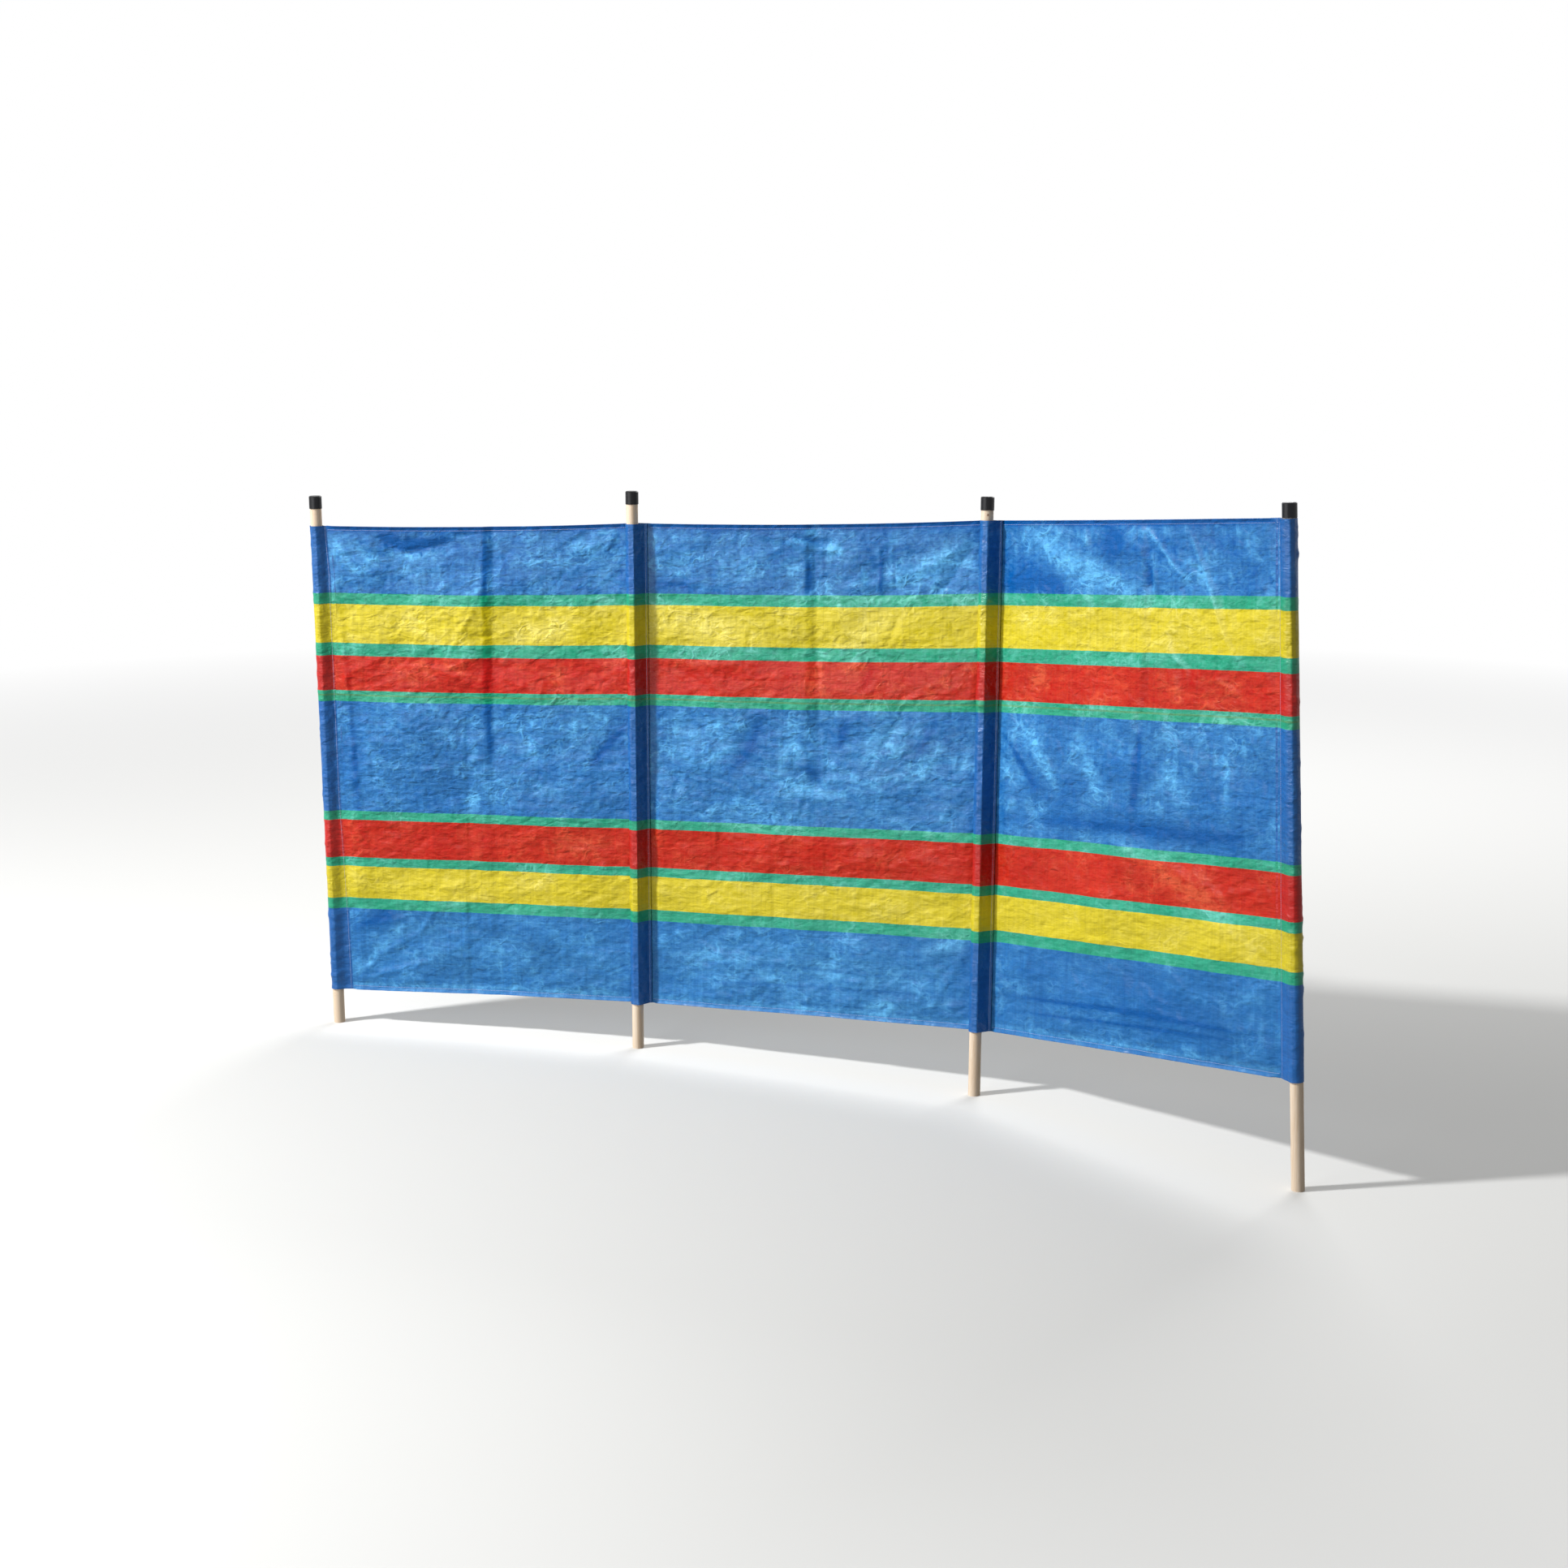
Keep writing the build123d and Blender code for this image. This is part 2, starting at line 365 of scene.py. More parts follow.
middleBay = {
    "name": "middle_bay",
    "belly": 4.0,
    "sag": 5.0,
    "folds": [
        (
            [(329, 0), (333, 380), (345, 920)],
            [(0, 4.6), (240, 4.2), (400, 2.8), (600, 1.6), (920, 1.2)], 18, 85,
        ),
        ([(356, 350), (357, 500)], [(350, 0), (390, 1.4), (460, 1.4), (500, 0)], 7, 26),
        ([(245, 550), (252, 700), (266, 920)], [(550, 0), (600, 1.4), (920, 1.2)], 8, 28),
        ([(355, 550), (360, 720), (368, 920)], [(550, 0), (600, 1.3), (920, 1.1)], 7, 26),
    ],
    "seed": 23,
    "lift": [(0, -0.5, -0.5), (920, -0.5, 0.5)],
    "creases": [
        ([(280, 19), (330, 32), (374, 35)], 9, 3.9),
        ([(275, 30), (330, 45), (388, 50)], 12, -3.3),
        ([(640, 20), (560, 75), (450, 110), (380, 118)], 24, -3.9),
        ([(640, 30), (585, 110), (540, 150)], 14, 2.7),
        ([(455, 50), (458, 90), (453, 135)], 8, -1.5),
        ([(215, 150), (243, 235)], 7, -1.2),
        ([(505, 150), (485, 190), (465, 235)], 12, 1.8),
        ([(284, 436), (318, 470), (352, 486)], 22, 2.7),
        ([(262, 498), (330, 505), (402, 512)], 18, -2.1),
        ([(560, 900), (610, 820), (640, 760)], 14, -1.8),
        ([(180, 60), (190, 120)], 12, 1.2),
        ([(510, 330), (470, 400), (440, 440)], 14, 1.5),
        ([(318, 44), (318, 140)], 6, 1.3),
        ([(336, 120), (341, 490)], 6, 1.4),
    ],
    "wornAndPaintedLight": [
        ([(306, 12), (344, 14)], 12, 0.8),
        ([(334, 42), (392, 50)], 9, 1.0),
        ([(286, 20), (332, 32)], 7, -0.9),
        ([(638, 30), (560, 74), (480, 108)], 44, 0.9),
        ([(50, 50), (56, 110)], 34, 0.5),
        ([(140, 60), (190, 96), (216, 110)], 44, 0.45),
        ([(270, 60), (286, 100)], 36, 0.6),
        ([(318, 60), (318, 128)], 14, -0.6),
        ([(0, 110), (110, 118)], 30, -0.5),
        ([(458, 56), (456, 132)], 6, -0.7),
        ([(30, 170), (110, 196), (200, 190)], 44, 0.5),
        ([(500, 150), (420, 210), (370, 226)], 40, 0.6),
        ([(400, 244), (416, 290)], 30, 0.6),
        ([(446, 250), (420, 316)], 20, -0.5),
        ([(60, 350), (80, 440), (110, 470)], 34, 0.5),
        ([(124, 345), (160, 440)], 34, 0.35),
        ([(236, 345), (196, 430), (150, 476)], 22, -0.5),
        ([(284, 350), (290, 440)], 24, 0.5),
        ([(312, 440), (336, 470), (348, 474)], 26, -0.6),
        ([(284, 488), (340, 496), (398, 500)], 18, 0.9),
        ([(420, 440), (450, 400), (500, 352)], 40, 0.6),
        ([(398, 350), (376, 420)], 18, -0.4),
        ([(570, 352), (520, 440)], 22, -0.4),
        ([(520, 470), (590, 400)], 26, 0.5),
        ([(606, 466), (640, 400)], 18, 0.4),
        ([(20, 540), (260, 545), (600, 535)], 40, 0.25),
        ([(540, 786), (638, 766)], 18, 0.8),
        ([(430, 896), (480, 888), (520, 900)], 12, 0.7),
        ([(0, 836), (300, 832), (640, 838)], 5, -0.35),
        ([(0, 872), (300, 868), (640, 864)], 5, -0.35),
        # these paint light over the lower and the middle bands
        ([(0, 840), (640, 840)], 110, 0.42),
        ([(0, 470), (640, 470)], 130, 0.2),
    ],
}

rightBay = {
    "name": "right_bay",
    "belly": 3.0,
    "sag": 1.0,
    "folds": [
        (
            [(356, 0), (356, 235), (332, 400), (325, 580), (325, 920)],
            [(0, 1.6), (235, 3.0), (600, 2.0), (920, 1.4)], 15, 70,
        ),
    ],
    "seed": 37,
    "lift": [(0, 1.5, 4.5), (340, 1.5, 5.0), (580, 1.5, 3.0), (680, 1.0, 1.0), (920, 1.0, 1.0)],
    "creases": [
        ([(352, 80), (358, 108), (367, 134)], 10, 3.3),
        ([(362, 76), (370, 110), (352, 140)], 10, -3.6),
        ([(310, 8), (356, 21), (386, 48), (412, 77), (440, 102)], 9, -3.6),
        (
            [(437, 8), (458, 44), (483, 96), (497, 130), (516, 181), (545, 222), (578, 248)],
            10, -4.0,
        ),
        ([(387, 185), (408, 229), (446, 255)], 9, -3.2),
        ([(455, 264), (516, 267), (545, 285), (576, 302)], 7, -2.1),
        ([(205, 6), (211, 48)], 8, -2.4),
        ([(40, 12), (110, 50), (180, 78), (260, 98)], 24, -3.3),
        ([(120, 20), (200, 70), (330, 112)], 16, -2.1),
        ([(250, 530), (307, 565), (409, 590), (532, 652)], 36, -3.6),
        ([(608, 330), (597, 490)], 9, -1.2),
        ([(60, 340), (130, 430), (200, 480)], 18, -2.1),
        ([(330, 905), (390, 880), (430, 850)], 14, -1.8),
        ([(12, 640), (60, 700), (90, 790)], 16, 1.2),
        ([(358, 116), (355, 345)], 6, 1.6),
    ],
    "wornAndPaintedLight": [
        ([(56, 12), (110, 40), (170, 66), (250, 98), (334, 118)], 36, 1.0),
        ([(140, 62), (210, 84), (250, 90)], 40, 0.5),
        ([(0, 112), (90, 110), (210, 122)], 34, -0.8),
        ([(240, 20), (300, 46)], 40, -0.6),
        ([(206, 10), (213, 46)], 5, 1.0),
        ([(345, 10), (386, 48), (412, 77), (446, 102)], 5, 1.0),
        ([(432, 4), (458, 44), (483, 98), (500, 134), (516, 181), (541, 220), (572, 242)], 6, 1.0),
        ([(470, 70), (500, 130)], 30, 0.5),
        ([(360, 76), (352, 112)], 10, -0.8),
        ([(388, 182), (410, 226), (446, 252)], 7, 0.9),
        ([(456, 264), (516, 267), (545, 286), (574, 302)], 7, 0.9),
        ([(80, 268), (130, 292)], 22, 0.6),
        ([(250, 268), (326, 286)], 18, 0.5),
        ([(410, 256), (430, 306)], 20, 0.5),
        ([(20, 160), (110, 190)], 36, 0.4),
        ([(64, 352), (110, 410), (156, 486)], 20, 0.9),
        ([(186, 350), (220, 420), (250, 500)], 26, 0.8),
        ([(4, 420), (60, 476)], 20, 0.5),
        ([(8, 372), (60, 424), (104, 480)], 12, -0.6),
        ([(368, 420), (450, 470)], 50, 0.5),
        ([(338, 350), (324, 500)], 12, -0.6),
        ([(525, 345), (525, 520)], 16, 0.5),
        ([(0, 530), (220, 526), (480, 530), (630, 520)], 22, -0.45),
        ([(256, 536), (330, 566), (420, 610), (520, 656), (600, 722)], 34, 0.9),
        ([(540, 794), (610, 788)], 20, 0.5),
        ([(0, 852), (300, 848), (600, 856)], 7, -0.5),
        ([(0, 880), (300, 872), (600, 870)], 5, -0.4),
        ([(430, 896), (470, 904)], 10, 0.7),
        # these paint shade over the lower, middle and upper bands
        ([(0, 840), (640, 840)], 110, -0.2),
        ([(0, 470), (640, 470)], 130, -0.12),
        ([(0, 60), (640, 60)], 80, -0.16),
    ],
}

baySettings = [leftBay, middleBay, rightBay]

crumpleSettings = {
    "count": 480,  # short random creases in a bay
    "slanted": 0.7,  # share of them that slant alike
    "slant": (10, 28),  # mean and spread in degrees, falling to the right
    "length": (12, 60),  # mm
    "bend": 0.25,
    "width": (5, 11),
    "height": (0.5, 1.6),
    "network": ((84, 1.7), (38, 0.9), (19, 0.9)),  # scale and height of the ridged noise
    "networkFlat": 0.62,  # height of its waves to their width
    "ridgePower": 3,
    "patches": (120, 70),  # size of the patches where it is strong
    "betweenPatches": 0.35,
    "patchShift": (9.1, 4.7),
    "swell": ((230, 3.4), (120, 3.2), (60, 1.1)),  # scale and height of the soft waves
    "swellFlat": 0.75,
    "swellShift": (5.3, 2.1),
    "sewnEdge": (0, 26),  # how far from a side seam the cloth is held flat
    "hemEdge": (3, 26),  # the same at a hem
    "hemRelief": 0.4,  # share of the relief that a hem keeps
    "puckers": ((11, 30, 1), (5.5, 22, 0.6)),  # width, height and strength, at the hems
    "puckerDepth": 0.28,
    "foldEase": 1.5,
    "strokeSpread": 1.15,
}


def alongCurve(pairs, at):
    places, values = zip(*pairs)
    return np.interp(at, places, values)


# how far a bay's cloth stands to its back: columns x from the left seam, rows y below the top
def bayRelief(bay, x, y, width, height):
    c = crumpleSettings
    seed = bay["seed"]
    gridX, gridY = np.meshgrid(x, y)
    relief = np.zeros(gridX.shape)
    for k, (scale, amount) in enumerate(c["swell"]):
        down = c["swellFlat"] * scale
        relief += amount * softNoise(gridX, gridY, scale, down, seed + k, c["swellShift"])
    patches = softNoise(gridX, gridY, *c["patches"], seed + 5, c["patchShift"])
    patches = smoothStep(patches, -0.5, 0.5)
    strength = c["betweenPatches"] + (1 - c["betweenPatches"]) * patches
    for k, (scale, amount) in enumerate(c["network"]):
        ridge = 1 - np.abs(softNoise(gridX, gridY, scale, c["networkFlat"] * scale, seed + 10 + k))
        relief -= amount * strength * ridge ** c["ridgePower"]
    rng = np.random.RandomState(seed)
    for _ in range(c["count"]):
        place = np.array([rng.uniform(0, width), rng.uniform(0, height)])
        slanted = rng.rand() < c["slanted"]
        turn = math.radians(rng.normal(*c["slant"]) if slanted else rng.uniform(-90, 90))
        half = rng.uniform(*c["length"]) / 2 * np.array([math.cos(turn), math.sin(turn)])
        bend = rng.uniform(-c["bend"], c["bend"]) * np.array([-half[1], half[0]])
        size = rng.uniform(*c["height"]) * rng.choice((-1, -1, 1))
        points = [place - half, place + bend, place + half]
        addCrease(relief, x, y, points, rng.uniform(*c["width"]), size)
    for points, creaseWidth, depth in bay["creases"]:
        addCrease(relief, x, y, points, creaseWidth, depth)
    # sewn edges hold the cloth flat, the hems less so
    relief *= within(gridX, width, c["sewnEdge"], c["sewnEdge"])
    nearHem = smoothStep(np.minimum(gridY, height - gridY), *c["hemEdge"])
    relief *= c["hemRelief"] + (1 - c["hemRelief"]) * nearHem
    for k, (across, down, amount) in enumerate(c["puckers"]):
        pucker = amount * softNoise(gridX, gridY, across, down, seed + 20 + k)
        relief += c["puckerDepth"] * pucker * (1 - nearHem)
    # lines where it was folded up, steep on their left and long on their right
    for points, depths, left, right in bay["folds"]:
        past = gridX - alongCurve([(b, a) for a, b in points], gridY)
        steep = np.clip(1 + past / left, 0, 1)
        long = np.clip(1 - past / right, 0, 1) ** c["foldEase"]
        relief += alongCurve(depths, gridY) * np.where(past < 0, steep, long)
    return relief


# how much paler, or deeper below 0, the strokes make a bay's cloth: paler is film whitened along
# creases together with painted sheen and highlight, deeper is painted shade
def bayWearAndPaintedLight(bay, x, y):
    wearAndPaintedLight = np.zeros((len(y), len(x)))
    for points, width, amount in hemPaintedShadeAndLight + bay["wornAndPaintedLight"]:
        addCrease(wearAndPaintedLight, x, y, points, width * crumpleSettings["strokeSpread"], amount)
    return np.clip(wearAndPaintedLight, -1, 1)


# the cloth's edge lines on both sides of bay n
def bayEnds(n, share):
    c = clothSettings
    ends = []
    for pole, side in ((n, 1), (n + 1, -1)):
        if pole in c["endSeams"]:
            place = side * alongCurve(c["endSeams"][pole], share) * mm, 0
        else:
            place = (c["middleSeam"] if side == 1 else 0), c["behindSleeve"]
        ends.append(besidePole(pole, *place, share))
    return ends


# rows of a bay from its lower raw edge round the fold, up the front, over the top and down to its
# upper raw edge: distance below the top, lap to the back, and cloth length for the stripes
def bayRows():
    c = clothSettings
    fold, height = c["hemFold"], c["height"]
    nearEdge = np.array([fold, *c["hemRows"], c["hemStitch"], c["hemDepth"]])
    down = nearEdge[::-1]
    lap = c["hemLap"] + (2 * fold - c["hemLap"]) * (1 - smoothStep(down, fold, c["lapReached"]))
    turn = np.linspace(0, math.pi, c["foldPoints"] + 2)[1:-1]
    edge = np.concatenate([down, fold - fold * np.sin(turn)])
    laps = np.concatenate([lap, fold + fold * np.cos(turn)])
    start = c["evenRows"]
    middle = np.linspace(start, height - start, math.ceil((height - 2 * start) / c["meshSpacing"]))
    nearEdge = np.append(nearEdge, c["hemEnd"])
    front = np.concatenate([nearEdge, middle, height - nearEdge[::-1]])[::-1]
    y = np.concatenate([height - edge, front, edge[::-1]])
    back = np.concatenate([laps, np.zeros(len(front)), laps[::-1]])
    flap = np.concatenate([height + edge, front, -edge[::-1]])
    return y, back, flap


def bayColumns(n, width):
    c = clothSettings
    columns = list(np.linspace(0, width, math.ceil(width / c["meshSpacing"]) + 1))
    if n < len(baySettings) - 1:  # the cloth goes on behind the sleeve to its seam
        columns += list(width + np.linspace(0, c["middleSeam"], c["columnsBehind"])[1:])
    return np.array(columns)


def stripeLift(bay, end, y):
    return alongCurve([(row[0], row[end]) for row in bay["lift"]], y)


def makeBay(n):
    c, bay = clothSettings, baySettings[n]
    height = c["height"]
    left, right = bayEnds(n, 0.5)
    width = float(np.linalg.norm(right - left))
    x, (y, lap, flap) = bayColumns(n, width), bayRows()
    gridX, gridY = np.meshgrid(x, y)
    part = np.clip(gridX / width, 0, 1)
    share = (1 - gridY / height) * (1 - hump(part) * bay["sag"] * mm / height)
    left, right = bayEnds(n, share)
    grid = left + (right - left) * part[..., None]
    grid += np.clip(gridX - width, 0, None)[..., None] * poles[n + 1]["along"]
    back = poles[n]["back"], poles[n + 1]["back"]
    back = unit(back[0] + (back[1] - back[0]) * part[..., None])
    depth = bayRelief(bay, x / mm, y / mm, width / mm, height / mm) + bay["belly"] * hump(part)
    depth = depth * mm * (gridX < width)
    fromEdge = np.minimum(gridY, height - gridY)
    roll = np.clip(1 - fromEdge / c["rollDepth"], 0, 1) ** 2
    roll *= within(gridX, width, c["rollStart"], c["rollStop"])
    depth += lap[:, None] - c["hemRoll"] * roll
    grid += back * depth[..., None]
    lift = [stripeLift(bay, end, flap / mm)[:, None] for end in (1, 2)]
    lift = lift[0] * (1 - part) + lift[1] * part
    coords = np.stack([gridX + c["patternStep"] * n, flap[:, None] + lift * mm], -1)
    piece = clothPiece(f"{bay['name']}_sheet", grid, coords, bayWearAndPaintedLight(bay, x / mm, y / mm))
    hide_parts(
        f"{bay['name']}_cloth", f"{bay['name']}_top_hem", f"{bay['name']}_bottom_hem"
    )
    flat = (x[-1], height + 2 * c["hemDepth"])
    bay.update(piece=piece, grid=grid, rows=y, flat=flat)
    print(bay["name"], "sheet,", len(x), "by", len(y), "points")


for n in range(len(baySettings)):
    makeBay(n)


# loops of cloth round the poles, drawn in to their seams; lengths are in mm
middleFront = [(25, 10.6), (22, 10.2), (19.4, 7.8), (6.5, -12.5), (-3.4, -12)]

sleeveSettings = {
    "pathPoints": 56,
    "rowSpacing": 4.6,
    "edgeRows": (0.3, 2.5, 5, 7.5, 10),
    "evenRows": 14,
    "seamWidth": 5,
    "seamAllowance": 8,  # raw edge behind an end seam
    "arcPoints": 24,
    "arcOverlap": 0.12,  # radians over the end of the front
    # the front of each loop from its seam, seen from above: along to the seam's side and to the
    # back, where the loop is widest and narrowest
    "fronts": [
        (
            [(33.5, 0), (28, -0.6), (23, -1.4), (18.5, -2.9),
             (14, -5.4), (9, -8.9), (3.8, -12.3), (-3.6, -12)],
            [(20.5, 0), (18.2, -0.8), (16.6, -1.9), (15, -3.4),
             (13, -5.6), (9.6, -8.8), (4.2, -12.4), (-3.6, -12)],
        ),
        (middleFront, middleFront),
        (middleFront, middleFront),
        (
            [(29.7, 0), (21.4, -3.6), (13, -7.2), (4.7, -10.8),
             (0, -11.8), (-5.9, -10.2), (-10.2, -5.9), (-11.8, -0.2)],
            [(17.7, 0), (15.6, -3.4), (12.4, -7.4), (7.6, -11),
             (2, -12.3), (-8, -12.3), (-12.2, -5.5), (-11.9, -0.2)],
        ),
    ],
    "crumples": 150,
    "crumplePlace": (4, 12),  # kept from the raw edge and from the seam
    "crumpleSlant": 26,  # spread in degrees
    "crumpleLength": (10, 34),
    "crumpleWidth": (6, 10),
    "crumpleHeight": (0.4, 1.5),
    "swell": (22, 60, 0.5),  # width, height and depth
    "inward": -0.1,  # the cloth comes no nearer to the pole
    "rawEdge": (3, 9),
    "seamEdge": (12, 18),
    "rollDepth": 10,
    "roll": 1.0,
    "seed": 71,
    "pattern": (3, 0.4),  # place in the film and dye, and the step from pole to pole, in m
}


# the same number of points at even steps along a path, with the path's length
def evenSteps(path, count):
    travel = travelAlong(path)
    return pointsAt(np.linspace(0, travel[-1], count), travel, path), travel[-1]


# a sleeve's loop at one height, in mm along the cloth and to its back, and its length
def sleevePath(n, share):
    c, s = clothSettings, sleeveSettings
    radius = c["sleeveRadius"] / mm
    wide, narrow = (np.array(points, float) for points in s["fronts"][n])
    if n in c["endSeams"]:
        seam, lap = alongCurve(c["endSeams"][n], share), c["hemLap"] / mm
        part = (seam - narrow[0, 0]) / (wide[0, 0] - narrow[0, 0])
        turn = math.acos(radius / seam) - 2 * math.pi
        behind = (seam - s["seamWidth"], seam, seam + s["seamAllowance"])
    else:
        seam, lap, part, turn = wide[0, 0], radius, 0, -1.5 * math.pi
        behind = (seam - s["seamWidth"], seam)
    front = narrow + (wide - narrow) * part
    start = math.atan2(front[-1, 1], front[-1, 0]) - s["arcOverlap"]
    angles = np.linspace(start, turn, s["arcPoints"])
    arc = radius * np.stack([np.cos(angles), np.sin(angles)], -1)
    behind = [(along, lap) for along in behind]
    path, length = evenSteps(np.concatenate([front, arc, behind]), s["pathPoints"])
    return path * ((-1, 1) if n == len(poles) - 1 else (1, 1)), length


# how far a sleeve's cloth stands out from its loop
def sleeveRelief(n, travel, y, length, height):
    s = sleeveSettings
    gridU, gridY = np.meshgrid(travel, y)
    depth = np.zeros(gridU.shape)
    rng = np.random.RandomState(s["seed"] + n)
    for _ in range(s["crumples"]):
        along = rng.uniform(s["crumplePlace"][0], length - s["crumplePlace"][1])
        place = np.array([along, rng.uniform(0, height)])
        turn = math.radians(rng.normal(0, s["crumpleSlant"]))
        half = rng.uniform(*s["crumpleLength"]) / 2 * np.array([math.cos(turn), math.sin(turn)])
        size = rng.uniform(*s["crumpleHeight"])
        crease = [place - half, place + half]
        addCrease(depth, travel, y, crease, rng.uniform(*s["crumpleWidth"]), size)
    across, down, amount = s["swell"]
    depth += amount * softNoise(gridU, gridY, across, down, s["seed"] + 10 + n)
    return np.clip(depth, s["inward"], None)


def makeSleeve(n):
    c, s = clothSettings, sleeveSettings
    height = poles[n]["sleeveHeight"] / mm
    nearEdge = np.array(s["edgeRows"])
    middle = np.arange(s["evenRows"], height - s["evenRows"], s["rowSpacing"])
    y = np.concatenate([nearEdge, middle, height - nearEdge[::-1]])[::-1]
    paths, lengths = zip(*[sleevePath(n, 1 - down / height) for down in y])
    paths, length = np.array(paths), float(np.mean(lengths))
    travel = np.linspace(0, length, s["pathPoints"])
    if n < len(poles) - 1:  # columns run to the right as seen from outside
        paths, travel = paths[:, ::-1], travel[::-1]
    gridU, gridY = np.meshgrid(travel, y)
    side = np.gradient(paths, axis=1)
    outward = unit(np.stack([side[..., 1], -side[..., 0]], -1))
    nearHem = np.clip(1 - np.minimum(gridY, height - gridY) / s["rollDepth"], 0, 1)
    depth = sleeveRelief(n, travel, y, length, height)
    depth += s["roll"] * nearHem * (outward[..., 1] < 0)
    depth *= within(gridU, length, s["rawEdge"], s["seamEdge"])
    paths = (paths + depth[..., None] * outward) * mm
    share = 1 - gridY / height
    grid = besidePole(n, paths[..., 0], paths[..., 1], share)
    bay, end = (baySettings[n], 1) if n < len(baySettings) else (baySettings[-1], 2)
    below = (1 - share) * c["height"]
    across = gridU * mm + s["pattern"][0] + s["pattern"][1] * n
    coords = np.stack([across, below + stripeLift(bay, end, below / mm) * mm], -1)
    piece = clothPiece(f"sleeve_{n + 1}_loop", grid, coords, np.zeros(gridU.shape))
    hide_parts(f"sleeve_{n + 1}")
    return {"piece": piece, "grid": grid, "travel": travel * mm}


sleeves = [makeSleeve(n) for n in range(len(poles))]
print("sleeves made")


# rows of short raised threads
stitchSettings = {
    "pitch": 3.3 * mm,
    "length": 2.5 * mm,
    "thickness": 0.55 * mm,
    "raised": 0.9,  # of half its thickness
    "body": 0.34,  # of its length to each side, before it tapers
    "seamRow": 3 * mm,  # from a seam's far side
}


# one row of stitches on a line of points that faces out of the cloth
def stitchRow(line, outward, points, faces):
    s = stitchSettings
    travel = travelAlong(line)
    middles = np.arange(s["pitch"], travel[-1] - s["pitch"] / 2, s["pitch"])
    centre = pointsAt(middles, travel, line)
    up = unit(pointsAt(middles, travel, outward))
    near = 0.5 * mm
    ahead = pointsAt(middles + near, travel, line) - pointsAt(middles - near, travel, line)
    ahead = unit(ahead)
    side = unit(np.cross(up, ahead))
    for middle, u, f, w in zip(centre, up, ahead, side):
        start = len(points)
        u, w, f = u * s["thickness"] / 2, w * s["thickness"] / 2, f * s["length"]
        middle = middle + u * s["raised"]
        for run in (-s["body"], s["body"]):
            points += [middle + f * run + k for k in (u, w, -u, -w)]
        points += [middle - f * 0.5 - u, middle + f * 0.5 - u]
        for k in range(4):
            m = (k + 1) % 4
            faces.append([start + k, start + m, start + 4 + m, start + 4 + k])
            faces.append([start + 8, start + m, start + k])
            faces.append([start + 9, start + 4 + k, start + 4 + m])


def stitchPiece(name, rows):
    points, faces = [], []
    for line, outward in rows:
        stitchRow(line, outward, points, faces)
    piece = newPiece(name, np.array(points), faces)
    return piece


def hemRows(bay):
    c = clothSettings
    outward = facing(bay["grid"])
    fromEdge = np.minimum(bay["rows"], c["height"] - bay["rows"])
    rows = []
    for k in np.flatnonzero(np.isclose(fromEdge, c["hemStitch"])):
        rows.append((bay["grid"][k] + outward[k] * c["thickness"] / 2, outward[k]))
    return rows


def seamRow(sleeve):
    k = np.abs(sleeve["travel"] - stitchSettings["seamRow"]).argmin()
    outward = facing(sleeve["grid"])[:, k]
    return sleeve["grid"][:, k] + outward * clothSettings["thickness"] / 2, outward


for n, bay in enumerate(baySettings):
    bay["stitches"] = stitchPiece(f"{bay['name']}_hem_stitches", hemRows(bay))
for n, sleeve in enumerate(sleeves):
    sleeve["stitches"] = stitchPiece(f"sleeve_{n + 1}_seam_stitches", [seamRow(sleeve)])
print("stitches sewn")


# sets a node's inputs, by name or number, to values or to what other nodes put out
def feed(tree, node, inputs):
    for key, value in inputs.items():
        if isinstance(value, bpy.types.NodeSocket):
            tree.links.new(value, node.inputs[key])
        else:
            node.inputs[key].default_value = value


def addNode(tree, kind, inputs=None, **options):
    node = tree.nodes.new(kind)
    for key, value in options.items():
        setattr(node, key, value)
    feed(tree, node, inputs or {})
    return node


# a node group; inputs without a value are vectors
def newGroup(name, inputs, outputs):
    group = bpy.data.node_groups.new(name, "ShaderNodeTree")
    for label, value in inputs.items():
        kind = "NodeSocketVector" if value is None else "NodeSocketFloat"
        socket = group.interface.new_socket(label, in_out="INPUT", socket_type=kind)
        if value is not None:
            socket.default_value = value
    for label, kind in outputs.items():
        group.interface.new_socket(label, in_out="OUTPUT", socket_type=f"NodeSocket{kind}")
    return group, addNode(group, "NodeGroupInput"), addNode(group, "NodeGroupOutput")


def placeGroup(tree, group, inputs):
    return addNode(tree, "ShaderNodeGroup", inputs, node_tree=group).outputs


def mathNode(tree, operation, *values, clamp=False):
    inputs = dict(enumerate(values))
    node = addNode(tree, "ShaderNodeMath", inputs, operation=operation, use_clamp=clamp)
    return node.outputs[0]


def product(tree, result, *others):
    for value in others:
        result = mathNode(tree, "MULTIPLY", result, value)
    return result


# the sum of some of the named values, each times its weight
def weightedSum(tree, values, weights, total=0.0):
    for name, weight in weights.items():
        total = mathNode(tree, "MULTIPLY_ADD", values[name], weight, total)
    return total


def rangeNode(tree, value, low, high, newLow=0.0, newHigh=1.0):
    node = addNode(tree, "ShaderNodeMapRange", {"Value": value})
    names = ("From Min", "From Max", "To Min", "To Max")
    feed(tree, node, dict(zip(names, (low, high, newLow, newHigh))))
    return node.outputs["Result"]


# a noise from 0 to 1, with waves a metre along each axis
def noiseNode(tree, vector, waves, detail=2.0, roughness=0.5, distortion=0.0):
    inputs = {0: vector, 1: waves}
    vector = addNode(tree, "ShaderNodeVectorMath", inputs, operation="MULTIPLY").outputs[0]
    inputs = {"Vector": vector, "Scale": 1.0, "Detail": detail, "Roughness": roughness}
    inputs["Distortion"] = distortion
    return addNode(tree, "ShaderNodeTexNoise", inputs).outputs["Fac"]


# the same around 0
def evenNoise(tree, vector, *noise):
    return mathNode(tree, "SUBTRACT", noiseNode(tree, vector, *noise), 0.5)


def distanceNode(tree, vector, place):
    inputs = {0: vector, 1: place}
    node = addNode(tree, "ShaderNodeVectorMath", inputs, operation="DISTANCE")
    return node.outputs["Value"]


